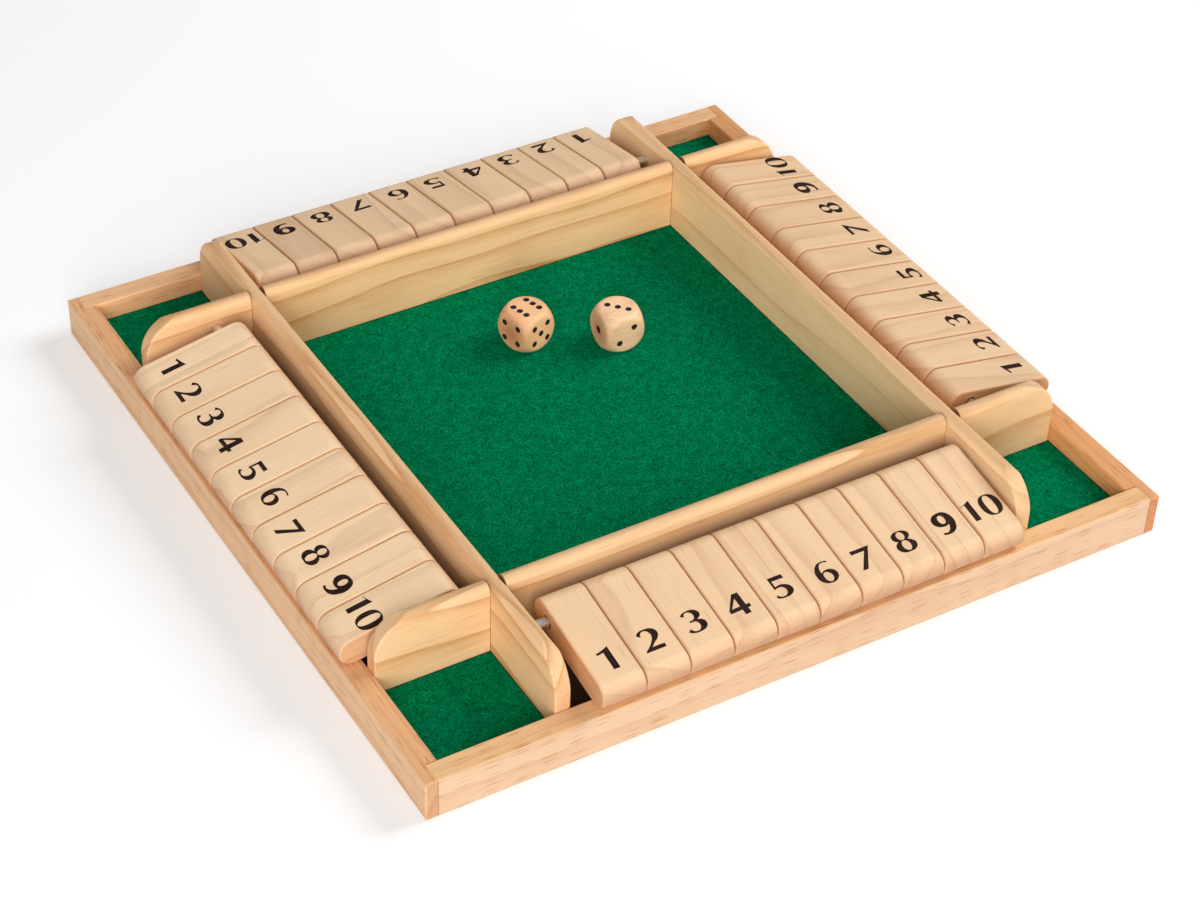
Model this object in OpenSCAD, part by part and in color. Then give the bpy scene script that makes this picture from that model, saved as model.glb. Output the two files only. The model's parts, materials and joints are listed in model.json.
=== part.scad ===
// Shut the box game for four players: a square wooden tray with a felt-lined centre, four felt-lined
// corner boxes and, on each side, a row of ten number tiles that turn over on a steel rod.
// Sizes are in millimetres. X runs to the right, Y to the back and Z up.
// The origin is the centre of the square, on the surface that the game stands on.

/* [Frame] */
// Width of a frame rail, seen from above
rail_width = 8.8; // [8.4:0.1:10]
// Height of a frame rail
rail_height = 16.5; // [15.5:0.1:17]
// Thickness of the lip that a side rail keeps beyond the end of a cross rail
rail_lip = 4.4; // [3:0.1:5]
// Radius of the eased edges of the frame
rail_ease = 0.8; // [0.4:0.1:1.2]

/* [Floor] */
// Height of the underside of the floor panel above the table
floor_rise = 4.6; // [3:0.1:5]
// Thickness of the floor panel
floor_thickness = 3; // [2.5:0.1:3.2]
// Depth of the groove that holds the floor panel in each rail
groove_depth = 3; // [2:0.1:4]
// Room between the floor panel and the bottom of the groove
groove_play = 0.1; // [0.05:0.05:0.3]
// Thickness of the felt
felt_thickness = 1; // [0.5:0.1:1.5]
// Room between the felt and the wood around it
felt_play = 0.1; // [0.05:0.05:0.3]

/* [Walls] */
// Distance from the side of the frame to the outer face of a wall
wall_setback = 52.9; // [52.5:0.1:54]
// Thickness of a wall, which is also the diameter of its round top edge
wall_thickness = 6; // [5.5:0.1:6.5]
// Height of the top of the walls above the table
wall_top = 37.5; // [36.5:0.1:38]
// Radius of the round upper corner at each end of a wall
wall_corner = 15; // [10:0.5:18]
// Radius of the eased edges around each end of a wall
wall_ease = 0.8; // [0.4:0.1:1.2]
// Room beside a wall in the notch of the wall that it crosses
lap_play = 0.05; // [0.02:0.01:0.1]

/* [Rods] */
// Diameter of a rod
rod_diameter = 4; // [3.5:0.1:4.2]
// Distance from the side of the frame to the axis of a rod
pivot_setback = 37.8; // [37.4:0.1:38.2]
// Height of the axis of a rod above the table
pivot_height = 27.9; // [27.5:0.1:28.5]
// Depth of the blind hole in the wall that holds the end of a rod
rod_hole_depth = 4; // [3:0.1:4.5]
// Room around a rod in its blind hole, and beyond its end
rod_hole_play = 0.05; // [0.02:0.01:0.1]

/* [Tiles] */
// Width of a tile along its rod
tile_width = 17; // [16.5:0.1:17.1]
// Thickness of a tile, which is also the diameter of its round ends
tile_thickness = 10.8; // [10.4:0.1:11]
// Distance from the rod to the centre of the outer round end
outer_arm = 32.8; // [32:0.1:33]
// Distance from the rod to the centre of the inner round end
inner_arm = 3.9; // [3.5:0.1:4.5]
// Radius of the eased edges of a tile
tile_ease = 0.7; // [0.4:0.1:1]
// Diameter of the hole through a tile
tile_bore = 4.8; // [4.6:0.1:5]
// Gap between neighbouring tiles on a rod
tile_gap = 0.25; // [0.2:0.01:0.3]
// Room between the wall and the first tile of a row
row_lead = 7.2; // [7.1:0.1:7.5]
// Room between the last tile of a row and the wall
row_tail = 2.75; // [2.5:0.05:3]
// Gap between a lowered tile and the rail under it
rest_gap = 0.05; // [0.02:0.01:0.2]
// Gap between a tile that is turned over and the wall it leans on
lean_gap = 0.2; // [0.1:0.05:0.4]
// Angle by which the tiles are turned over, from lowered to leaning on the wall
tile_turn = 0; // [0:1:144]

/* [Dice] */
// Distance between opposite faces of a die
die_side = 16.4; // [15:0.1:18]
// Diameter of the ball that rounds off the edges and corners of a die
die_ball = 22; // [21:0.1:22.6]
// Distance between neighbouring pips
pip_pitch = 3.3; // [3:0.1:3.4]
// Diameter of a pip
pip_diameter = 2.2; // [1.8:0.1:2.5]
// Depth of a pip
pip_depth = 0.5; // [0.3:0.1:0.8]

/* [Hidden] */
$fn = 64;
TILES = 10;
SIDES = ["front", "right", "back", "left"];
CORNERS = ["front_left", "front_right", "back_right", "back_left"];
RAIL_WOOD = [0.86, 0.62, 0.38];
WALL_WOOD = [0.84, 0.66, 0.40];
TILE_WOOD = [0.90, 0.74, 0.55];
FLOOR_WOOD = [0.55, 0.42, 0.28];
FELT = [0.00, 0.43, 0.24];
STEEL = [0.75, 0.76, 0.78];
FELT_NAMES = concat(["felt_centre"], [for (c = CORNERS) str("felt_", c)]);

// Room that a cutting shape reaches past the face it cuts
past = 1;
tile_pitch = tile_width + tile_gap;
row_length = TILES * tile_width + (TILES - 1) * tile_gap;
// Half the distance between the inner faces of two opposite walls, which the rows of tiles set
tray_half = (row_lead + row_length + row_tail) / 2;
wall_offset = tray_half + wall_thickness / 2;
half = wall_offset + wall_thickness / 2 + wall_setback;
// Length of each side of the square frame
board = 2 * half;
floor_top = floor_rise + floor_thickness;
felt_top = floor_top + felt_thickness;
// The floor panel reaches into the grooves on all four sides
panel_side = board - 2 * (rail_width - groove_depth + groove_play);
// Walls stand on the floor panel, between the inner faces of the rails
wall_length = board - 2 * rail_width;
wall_height = wall_top - floor_top;
pivot_offset = half - pivot_setback;
rod_length = 2 * (tray_half + rod_hole_depth - rod_hole_play);
// A lowered tile slopes from the rod down to the rail that its outer end rests on
nose_height = rail_height + tile_thickness / 2 + rest_gap;
tile_slope = asin((pivot_height - nose_height) / outer_arm);
// A tile that is turned over leans on the round top edge of the wall
lean_across = wall_setback + wall_thickness / 2 - pivot_setback;
lean_up = wall_top - wall_thickness / 2 - pivot_height;
lean_reach = tile_thickness / 2 + wall_thickness / 2 + lean_gap;
lean_angle = atan2(lean_up, lean_across) + asin(lean_reach / norm([lean_across, lean_up]));
turn_limit = 180 + tile_slope - lean_angle;
// Turns from the top face of a die to its top, bottom, front, right, back and left faces
DIE_FACES = [[0, 0, 0], [180, 0, 0], [90, 0, 0], [90, 0, 90], [90, 0, 180], [90, 0, -90]];
// Each die: centre on the felt, turn about the upright axis, pips on its faces in that order, turn of
// the pips on the top face
DIE_LEFT = [[-0.5, 49.8], 16, [6, 1, 5, 3, 2, 4], 0];
DIE_RIGHT = [[30.7, 33.1], -3, [3, 4, 2, 6, 5, 1], 90];

// Steps from the middle of a face to each of its pips, in pip pitches
function pip_steps(count) = concat(
    count % 2 == 1 ? [[0, 0]] : [],
    count > 1 ? [[-1, -1], [1, 1]] : [],
    count > 3 ? [[-1, 1], [1, -1]] : [],
    count == 6 ? [[-1, 0], [1, 0]] : []
);

// Rectangle with rounded corners, centred
module eased_rectangle(width, height, ease) {
    square([width - 2 * ease, height], center = true);
    square([width, height - 2 * ease], center = true);
    for (x = [-1, 1])
        for (y = [-1, 1])
            translate([x * (width / 2 - ease), y * (height / 2 - ease)])
                circle(r = ease);
}

// Beam as long as the frame, with the section of a frame seen from its front
module eased_beam() {
    rotate([90, 0, 0])
        translate([0, rail_height / 2, -half - past])
            linear_extrude(board + 2 * past)
                eased_rectangle(board, rail_height, rail_ease);
}

// Outer shape of the whole frame: a flat block with every edge eased
module frame_block() {
    intersection() {
        linear_extrude(rail_height)
            eased_rectangle(board, board, rail_ease);
        eased_beam();
        rotate(90)
            eased_beam();
    }
}

// Front rail with a groove for the floor panel. Its inner edges are eased here, and its outer edges
// by the block of the whole frame
module rail_bar(length) {
    intersection() {
        difference() {
            translate([-length / 2, -half + rail_width / 2 - past, rail_height / 2])
                rotate([90, 0, 90])
                    linear_extrude(length)
                        eased_rectangle(rail_width + 2 * past, rail_height, rail_ease);
            translate([-half, -half + rail_width - groove_depth, floor_rise])
                cube([board, groove_depth + past, floor_thickness]);
        }
        frame_block();
    }
}

// Front or back rail, drawn at the front: its ends sit in the rabbets of the side rails
module cross_rail() {
    color(RAIL_WOOD)
        rail_bar(board - 2 * rail_lip);
}

// Left or right rail, drawn at the front: full length, with a rabbet at each end
module side_rail() {
    color(RAIL_WOOD)
        difference() {
            rail_bar(board + 2 * past);
            for (end = [0, 1])
                mirror([end, 0, 0])
                    translate([half - rail_width, -half + rail_lip, -past])
                        cube([rail_width + past, rail_width, rail_height + 2 * past]);
        }
}

module floor_panel() {
    color(FLOOR_WOOD)
        translate([-panel_side / 2, -panel_side / 2, floor_rise])
            cube([panel_side, panel_side, floor_thickness]);
}

// Square felt pad between two upright faces in each direction
module felt_pad(start, end) {
    color(FELT)
        translate([start + felt_play, start + felt_play, floor_top])
            cube([end - start - 2 * felt_play, end - start - 2 * felt_play, felt_thickness]);
}

// End of a wall: an upright post under a quarter round, with eased edges
module wall_end() {
    post = wall_height - wall_corner;
    translate([wall_length / 2 - wall_corner, 0, post])
        rotate([90, 0, 0])
            rotate_extrude()
                intersection() {
                    eased_rectangle(2 * wall_corner, wall_thickness, wall_ease);
                    translate([0, -wall_thickness])
                        square([2 * wall_corner, 2 * wall_thickness]);
                }
    translate([wall_length / 2 - wall_corner, 0, 0])
        linear_extrude(post)
            eased_rectangle(2 * wall_corner, wall_thickness, wall_ease);
}

// Wall along X with its inner face towards +Y: round top edge, round corners, two blind rod holes
module wall_blank() {
    difference() {
        intersection() {
            union() {
                translate([-wall_length / 2 + wall_corner, -wall_thickness / 2, 0])
                    cube([wall_length - 2 * wall_corner, wall_thickness, wall_height]);
                wall_end();
                rotate(180)
                    wall_end();
            }
            translate([-half, 0, 0])
                rotate([90, 0, 90])
                    linear_extrude(board)
                        union() {
                            translate([-wall_thickness / 2, 0])
                                square([wall_thickness, wall_height - wall_thickness / 2]);
                            translate([0, wall_height - wall_thickness / 2])
                                circle(d = wall_thickness);
                        }
        }
        for (side = [-1, 1])
            translate([side * pivot_offset, wall_thickness / 2 - rod_hole_depth, pivot_height - floor_top])
                rotate([-90, 0, 0])
                    cylinder(h = rod_hole_depth + past, d = rod_diameter + 2 * rod_hole_play);
    }
}

// Notch where another wall crosses, from a lower to an upper height
module wall_notches(low, high) {
    notch = wall_thickness + 2 * lap_play;
    for (side = [-1, 1])
        translate([side * wall_offset - notch / 2, -wall_thickness, low])
            cube([notch, 2 * wall_thickness, high - low]);
}

// Front or back wall, drawn at the front: notched from above
module under_wall() {
    color(WALL_WOOD)
        translate([0, -wall_offset, floor_top])
            difference() {
                wall_blank();
                wall_notches(wall_height / 2, wall_height + past);
            }
}

// Left or right wall, drawn at the front: notched from below
module over_wall() {
    color(WALL_WOOD)
        translate([0, -wall_offset, floor_top])
            difference() {
                wall_blank();
                wall_notches(-past, wall_height / 2);
            }
}

// Steel rod, drawn at the front
module rod() {
    color(STEEL)
        translate([-rod_length / 2, -pivot_offset, pivot_height])
            rotate([0, 90, 0])
                cylinder(h = rod_length, d = rod_diameter);
}

// Round end of a tile: half a turn of its section about the axis of the round end
module tile_end() {
    rotate([0, 90, 0])
        rotate_extrude(angle = 180)
            intersection() {
                eased_rectangle(tile_thickness, tile_width, tile_ease);
                translate([0, -tile_width])
                    square([tile_thickness, 2 * tile_width]);
            }
}

// Number tile about its rod: a bar with round ends and eased edges, centred on its width
module tile_blank() {
    difference() {
        union() {
            translate([0, inner_arm, 0])
                rotate([90, 0, 0])
                    linear_extrude(outer_arm + inner_arm)
                        eased_rectangle(tile_width, tile_thickness, tile_ease);
            translate([0, inner_arm, 0])
                tile_end();
            translate([0, -outer_arm, 0])
                rotate(180)
                    tile_end();
        }
        translate([-tile_width / 2 - past, 0, 0])
            rotate([0, 90, 0])
                cylinder(h = tile_width + 2 * past, d = tile_bore);
    }
}

// Number tile in its place in the front row, counted from the left
module tile(number) {
    start = -tray_half + row_lead + (number - 1) * tile_pitch;
    color(TILE_WOOD)
        translate([start + tile_width / 2, -pivot_offset, pivot_height])
            rotate([tile_slope - min(tile_turn, turn_limit), 0, 0])
                tile_blank();
}

// Wooden die with its pips drilled into its faces
module die(place) {
    centre = place[0];
    pip_floor = die_side / 2 - pip_depth;
    color(TILE_WOOD)
        translate([centre[0], centre[1], felt_top + die_side / 2])
            rotate(place[1])
                difference() {
                    intersection() {
                        cube(die_side, center = true);
                        sphere(d = die_ball);
                    }
                    for (face = [0 : 5])
                        rotate(DIE_FACES[face])
                            rotate(face == 0 ? place[3] : 0)
                                for (step = pip_steps(place[2][face]))
                                    translate([step[0] * pip_pitch, step[1] * pip_pitch, pip_floor])
                                        cylinder(h = pip_depth + past, d = pip_diameter);
                }
}

cross_rail();  // rail_front
rotate(90) side_rail();  // rail_right
rotate(180) cross_rail();  // rail_back
rotate(270) side_rail();  // rail_left
floor_panel();
felt_pad(-tray_half, tray_half);  // felt_centre
for (k = [0 : 3])
    rotate(90 * k) felt_pad(-half + rail_width, -half + wall_setback);
under_wall();  // wall_front
rotate(90) over_wall();  // wall_right
rotate(180) under_wall();  // wall_back
rotate(270) over_wall();  // wall_left
for (k = [0 : 3])
    rotate(90 * k) rod();
for (k = [0 : 3])
    for (n = [1 : TILES])
        rotate(90 * k) tile(n);
die(DIE_LEFT);  // die_left
die(DIE_RIGHT);  // die_right
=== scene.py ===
# %% [markdown]
# # A shut the box game for four players
# The game is a shallow square tray of pale wood. A rail runs round the outside, four low walls cross
# over each other like the bars of a noughts and crosses board, and in the trough on each side ten
# number tiles turn on a steel rod. The middle and the four corners are lined with green felt, and two
# wooden dice lie in the middle.
#
# The frame that this script starts from holds every solid at its real size and place, in metres, with
# Z up and the origin under the middle of the tray. What Blender adds is the look: eased edges, grain,
# printed numbers, fibres of felt, light and a camera.

import json
import math
import random

import bmesh
import bpy
from mathutils import Matrix, Vector

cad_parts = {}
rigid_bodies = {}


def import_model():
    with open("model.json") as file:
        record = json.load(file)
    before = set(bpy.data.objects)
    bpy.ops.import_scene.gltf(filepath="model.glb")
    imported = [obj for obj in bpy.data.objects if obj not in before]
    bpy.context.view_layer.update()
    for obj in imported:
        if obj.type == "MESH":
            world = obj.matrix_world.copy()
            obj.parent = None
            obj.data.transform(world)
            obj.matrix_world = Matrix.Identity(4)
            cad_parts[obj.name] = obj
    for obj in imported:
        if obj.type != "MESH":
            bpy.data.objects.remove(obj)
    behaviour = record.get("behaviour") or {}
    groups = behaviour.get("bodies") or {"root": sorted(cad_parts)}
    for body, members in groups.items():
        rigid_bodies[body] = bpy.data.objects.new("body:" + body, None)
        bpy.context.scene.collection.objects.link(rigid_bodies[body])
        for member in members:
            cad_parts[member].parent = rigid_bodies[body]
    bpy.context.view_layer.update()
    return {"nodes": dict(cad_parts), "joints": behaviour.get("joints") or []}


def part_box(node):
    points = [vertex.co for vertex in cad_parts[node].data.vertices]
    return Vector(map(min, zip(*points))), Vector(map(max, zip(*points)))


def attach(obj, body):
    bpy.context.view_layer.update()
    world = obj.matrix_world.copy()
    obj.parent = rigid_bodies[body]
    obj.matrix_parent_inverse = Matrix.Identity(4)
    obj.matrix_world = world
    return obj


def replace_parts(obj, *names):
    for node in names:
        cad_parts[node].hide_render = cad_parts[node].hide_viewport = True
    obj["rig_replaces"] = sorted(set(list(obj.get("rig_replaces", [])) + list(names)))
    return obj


MM = 0.001
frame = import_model()

# %% [markdown]
# A node tree is easier to read when each node is made in one call that also fills its sockets. A value
# that is itself a socket is linked, and any other value becomes the socket's own setting. The same
# helpers serve materials and Geometry Nodes. Each of the small ones makes one kind of node and gives
# back the socket with its result, so a formula can be written as calls within calls.

# %% Helpers for node trees


def fill(tree, sockets, values):
    """Links each value that is a socket, and writes any other one into the socket of that name."""
    for name, value in values.items():
        if isinstance(value, bpy.types.NodeSocket):
            tree.links.new(value, sockets[name])
        else:
            sockets[name].default_value = value


def add_node(tree, kind, inputs=None, **settings):
    """A node of that kind, with its settings and inputs filled. Returns the node."""
    node = tree.nodes.new(kind)
    for name, value in settings.items():
        setattr(node, name, value)
    fill(tree, node.inputs, inputs or {})
    return node


def math_node(tree, operation, first, second=0.0, clamp=False):
    """One arithmetic step. Returns the result's socket."""
    inputs = {0: first, 1: second}
    return add_node(tree, "ShaderNodeMath", inputs, operation=operation, use_clamp=clamp).outputs[0]


def plus(tree, first, second, clamp=False):
    return math_node(tree, "ADD", first, second, clamp)


def minus(tree, first, second, clamp=False):
    return math_node(tree, "SUBTRACT", first, second, clamp)


def times(tree, first, second):
    return math_node(tree, "MULTIPLY", first, second)


def over(tree, first, second, clamp=False):
    return math_node(tree, "DIVIDE", first, second, clamp)


def unsigned(tree, value, power=1.0):
    """A value without its sign, raised to a power. Returns the result's socket."""
    value = math_node(tree, "ABSOLUTE", value)
    return value if power == 1.0 else math_node(tree, "POWER", value, power)


def vector_node(tree, operation, first, second):
    """One step of vector arithmetic. Returns the result's socket."""
    return add_node(tree, "ShaderNodeVectorMath", {0: first, 1: second}, operation=operation).outputs[0]


def axes_of(tree, vector):
    """The parts "X", "Y" and "Z" of a vector, as sockets."""
    return add_node(tree, "ShaderNodeSeparateXYZ", {0: vector}).outputs


def declare(tree, way, kind, *names):
    """Gives a node group sockets of one kind. The way is "INPUT" or "OUTPUT"."""
    for name in names:
        tree.interface.new_socket(name, in_out=way, socket_type="NodeSocket" + kind)


print("node helpers ready")

# %% [markdown]
# Two things serve colours only: noises, which are often drawn out along one axis to look like fibres,
# and mixes of colours. A material starts from Blender's own shader node, whose sockets are then filled
# in one go.

# %% Helpers for colours and materials


def noise(tree, point, scale, detail):
    """A noise with one scale, or with one for each axis. Returns its outputs."""
    if isinstance(scale, tuple):
        point, scale = vector_node(tree, "MULTIPLY", point, scale), 1.0
    return add_node(tree, "ShaderNodeTexNoise", {"Vector": point, "Scale": scale, "Detail": detail}).outputs


def mix_colours(tree, amount, first, second, blend="MIX"):
    """Two colours mixed by amount. Returns the colour's socket."""
    inputs = {0: amount, 6: first, 7: second}
    return add_node(tree, "ShaderNodeMix", inputs, data_type="RGBA", blend_type=blend).outputs[2]


def tinted(tree, amount, colour, tint):
    """A colour multiplied by a tint, as far as amount says. Returns the colour's socket."""
    return mix_colours(tree, amount, colour, (*tint, 1), "MULTIPLY")


def ramp(tree, value, stops):
    """A colour ramp with (position, grey or colour) stops. Returns the colour's socket."""
    node = add_node(tree, "ShaderNodeValToRGB", {0: value})
    while len(node.color_ramp.elements) < len(stops):
        node.color_ramp.elements.new(1.0)
    for element, (position, colour) in zip(node.color_ramp.elements, stops):
        element.position = position
        element.color = (colour,) * 3 + (1,) if isinstance(colour, float) else (*colour, 1)
    return node.outputs[0]


def raised(tree, height, strength, depth):
    """Makes a surface look raised where height is large. Returns the socket for a shader's normal."""
    inputs = {"Strength": strength, "Distance": depth, "Height": height}
    return add_node(tree, "ShaderNodeBump", inputs).outputs[0]


def own_place(tree):
    """The place of a point in the object's own coordinates. Returns the socket."""
    return tree.nodes.new("ShaderNodeTexCoord").outputs["Object"]


def attribute(tree, name, output="Fac"):
    """A value that the mesh itself carries. Returns the socket."""
    return add_node(tree, "ShaderNodeAttribute", attribute_name=name).outputs[output]


def new_material(name):
    """A plain material. Returns it with its tree and its shader's sockets."""
    material = bpy.data.materials.new(name)
    material.use_nodes = True
    tree = material.node_tree
    return material, tree, tree.nodes["Principled BSDF"].inputs


print("colour and material helpers ready")

# %% [markdown]
# ## Wood
# Sawn wood is a block cut out of a tree, so its pattern is solid: rings round a distant pith, drawn out
# along the trunk. Working the rings out in three dimensions gives long lines on the faces and curved
# bands on the cut ends of the same board, with no seam between them. One node group does this for
# every board. Its point runs along the grain in X, its rings are wavy cylinders round X, and thin dark
# dashes are the open pores.

# %% A node group for sawn wood
# How often each pattern comes back in a metre: along the grain and in the two ways across it
WANDER = (6, 22, 22)
FIBRES = (60, 1500, 1500)
CLOUDS = (25, 70, 70)
PORES = (95, 2700, 2700)
SWAY = 16 * MM
END_TINT = (0.62, 0.44, 0.40)


def make_sawn_wood():
    """The group that turns a point in a board, in metres with X along the grain, into a wood's colour."""
    tree = bpy.data.node_groups.new("sawn wood", "ShaderNodeTree")
    declare(tree, "INPUT", "Vector", "Point")
    declare(tree, "INPUT", "Float", "End Grain")
    declare(tree, "INPUT", "Color", "Early Wood", "Late Wood", "Pore Colour")
    declare(tree, "INPUT", "Float", "Ring Width", "Ring Contrast", "Pore Amount", "Pith Distance")
    declare(tree, "INPUT", "Float", "End Darkness")
    declare(tree, "OUTPUT", "Color", "Colour")
    declare(tree, "OUTPUT", "Float", "Height")
    given = tree.nodes.new("NodeGroupInput").outputs
    point = given["Point"]

    # A slow wander along the trunk bends every ring in the same way
    wander = noise(tree, point, WANDER, 2.0)["Color"]
    shift = vector_node(tree, "SUBTRACT", wander, (0.5, 0.5, 0.5))
    shift = vector_node(tree, "MULTIPLY", shift, (0, SWAY, SWAY))
    bent = axes_of(tree, vector_node(tree, "ADD", point, shift))

    # Distance from the pith, counted in rings
    side = plus(tree, bent["Z"], given["Pith Distance"])
    square = plus(tree, times(tree, side, side), times(tree, bent["Y"], bent["Y"]))
    rings = over(tree, math_node(tree, "SQRT", square), given["Ring Width"])
    # Rings vary in width: a coarse noise over the ring count squeezes and stretches them
    coarse = {"W": rings, "Scale": 0.35, "Detail": 1.0}
    uneven = add_node(tree, "ShaderNodeTexNoise", coarse, noise_dimensions="1D").outputs[0]
    rings = plus(tree, rings, times(tree, uneven, 2.2))
    # Colour deepens slowly through the ring, then drops back at once where the next spring begins
    phase = math_node(tree, "FRACT", rings)
    band = ramp(tree, phase, [(0.0, 0.0), (0.5, 0.1), (0.8, 0.5), (0.95, 1.0), (1.0, 0.0)])
    band = times(tree, band, given["Ring Contrast"])

    # Fibres are fine and drawn out along the grain, and clouds are broad, faint changes of tone
    fibre = minus(tree, noise(tree, point, FIBRES, 3.0)[0], 0.5)
    cloud = minus(tree, noise(tree, point, CLOUDS, 3.0)[0], 0.5)
    tone = plus(tree, band, times(tree, fibre, 0.9))
    tone = plus(tree, tone, times(tree, cloud, 0.9), clamp=True)
    colour = mix_colours(tree, tone, given["Early Wood"], given["Late Wood"])

    # Pores: thin dark dashes, each a stretched cell whose centre alone is dark
    stretched = vector_node(tree, "MULTIPLY", point, PORES)
    cells = add_node(tree, "ShaderNodeTexVoronoi", {"Vector": stretched, "Scale": 1.0}).outputs
    dash = ramp(tree, cells["Distance"], [(0.0, 1.0), (0.25, 0.75), (0.42, 0.0), (1.0, 0.0)])
    lot = add_node(tree, "ShaderNodeSeparateColor", {0: cells["Color"]}).outputs[0]
    pore = times(tree, dash, math_node(tree, "LESS_THAN", lot, given["Pore Amount"]))
    colour = mix_colours(tree, pore, colour, given["Pore Colour"])

    # Cut ends drink more lacquer and look darker and redder. Where End Darkness is set strong, as on the
    # tiles, this also paints shade on the ends.
    end = times(tree, given["End Grain"], given["End Darkness"])
    colour = tinted(tree, end, colour, END_TINT)
    height = minus(tree, times(tree, fibre, 0.5), pore)
    fill(tree, tree.nodes.new("NodeGroupOutput").inputs, {"Colour": colour, "Height": height})
    return tree


SAWN_WOOD = make_sawn_wood()
print("wood group:", len(SAWN_WOOD.nodes), "nodes")

# %% [markdown]
# The boards of the tray lie either along X or along Y, and the group wants the grain along X, so a
# Mapping node turns the board's own coordinates first. It also moves each kind of board to another
# part of the tree. The tiles are cut from many different sticks, so each one carries its place in its
# own stick as an attribute of its mesh. Over the wood lies a thin, satin lacquer.

# %% The finish of a board or a loose piece of wood
SEAM_HALF_WIDTH = 0.35 * MM
SEAM_COLOUR = (0.15, 0.05, 0.015, 1)
# Painted shade on the sides of the tiles, where they face each other across the gaps
GAP_SHADE_TINT = (0.80, 0.64, 0.53)


def wood_finish(name, along, look, tint=(1, 1, 1), top=(1, 1, 1), start=(0, 0, 0), seams=(), across_top=True):
    """A lacquered wood. along is "x" or "y" for a board of the tray, or "stick" for a loose piece.
    The tint colours it all, and on a board it is partly painted light and shade. On a board, top colours
    what faces up, which paints light and shade on the tops, and start moves the board in its tree. On
    loose pieces, top is the colour by which the deepest toned one differs, and the tone is partly painted
    shade. Seams are the places along a board, counted from the tray's middle, where a joint shows as a
    dark hairline."""
    material, tree, shader = new_material(name)
    wood = add_node(tree, "ShaderNodeGroup", node_tree=SAWN_WOOD)
    if along == "stick":
        point = attribute(tree, "stick", "Vector")
        end = attribute(tree, "cut_end")
    else:
        coordinates = tree.nodes.new("ShaderNodeTexCoord").outputs
        turn = (0, 0, 0 if along == "x" else math.radians(-90))
        mapping = {"Vector": coordinates["Object"], "Location": start, "Rotation": turn}
        point = add_node(tree, "ShaderNodeMapping", mapping).outputs[0]
        facing = axes_of(tree, coordinates["Normal"])
        end = unsigned(tree, facing[along.upper()], 3.0)
        upward = math_node(tree, "POWER", math_node(tree, "MAXIMUM", facing["Z"], 0.0), 2.0)
    values = {"Point": point, "End Grain": end}
    for socket, value in look.items():
        colour = isinstance(value, tuple)
        values[socket] = (*(v * t for v, t in zip(value, tint)), 1) if colour else value
    fill(tree, wood.inputs, values)
    colour = wood.outputs["Colour"]
    if along == "stick":
        # Painted shade: the sides of a tile, which face the neighbouring tiles, are darkened to draw the
        # shade in the narrow gaps. Every stick has its own tone, which is partly painted shade.
        colour = tinted(tree, attribute(tree, "cheek"), colour, GAP_SHADE_TINT)
        colour = tinted(tree, attribute(tree, "tone"), colour, top)
    else:
        # Painted light and shade: the faces that look up take the top's tint, so they look lighter or darker
        # than the sides
        colour = tinted(tree, upward, colour, top)
        out = unsigned(tree, axes_of(tree, coordinates["Object"])[along.upper()])
        for seam in seams:
            apart = unsigned(tree, minus(tree, out, seam))
            line = minus(tree, 1.0, over(tree, apart, SEAM_HALF_WIDTH), clamp=True)
            if not across_top:
                line = times(tree, line, minus(tree, 1.0, upward))
            colour = mix_colours(tree, line, colour, SEAM_COLOUR)
    lacquer = {
        "Base Color": colour,
        "Normal": raised(tree, wood.outputs["Height"], 0.3, 0.06 * MM),
        "Roughness": plus(tree, 0.54, times(tree, wood.outputs["Height"], -0.12)),
        "Specular IOR Level": 0.28,
        "Coat Weight": 0.05,
        "Coat Roughness": 0.4,
    }
    fill(tree, shader, lacquer)
    return material


print("a seam is", 2 * SEAM_HALF_WIDTH / MM, "mm wide")

# %% [markdown]
# Five kinds of wood differ only in the group's settings. The rails are an open-pored hardwood, the
# walls a soft wood with wide rings, and the tiles and dice paler, finer woods. The floor board is a
# dark hardboard that shows at the bottom of the troughs. It is made nearly black, so it also paints
# the shade that fills the deep troughs.

# %% Five kinds of wood


def look_of(early, late, pore, ring, contrast, pores, pith, end=0.42):
    """The settings of one kind of wood, by the names of the group's sockets. Lengths are in millimetres."""
    return {
        "Early Wood": early,
        "Late Wood": late,
        "Pore Colour": pore,
        "Ring Width": ring * MM,
        "Ring Contrast": contrast,
        "Pore Amount": pores,
        "Pith Distance": pith * MM,
        "End Darkness": end,
    }


RAIL_LOOK = look_of((0.86, 0.57, 0.35), (0.66, 0.37, 0.19), (0.46, 0.16, 0.06), 3.6, 0.5, 0.20, 60, 0.55)
WALL_LOOK = look_of((0.94, 0.62, 0.33), (0.66, 0.33, 0.12), (0.58, 0.28, 0.11), 7.5, 0.78, 0.008, 38)
# The tiles' strong end darkness partly paints the shade on the tile ends that lie close to the walls
TILE_LOOK = look_of((0.955, 0.70, 0.445), (0.73, 0.47, 0.29), (0.60, 0.36, 0.22), 7.0, 0.55, 0.006, 34, 0.75)
DIE_LOOK = look_of((0.99, 0.65, 0.385), (0.74, 0.41, 0.21), (0.34, 0.16, 0.08), 1.8, 0.35, 0.02, 22, 1.0)
FLOOR_AND_TROUGH_SHADE_LOOK = look_of((0.06, 0.031, 0.016), (0.035, 0.017, 0.008), (0.01, 0.005, 0.003), 9.0, 0.1, 0.02, 15)
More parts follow.
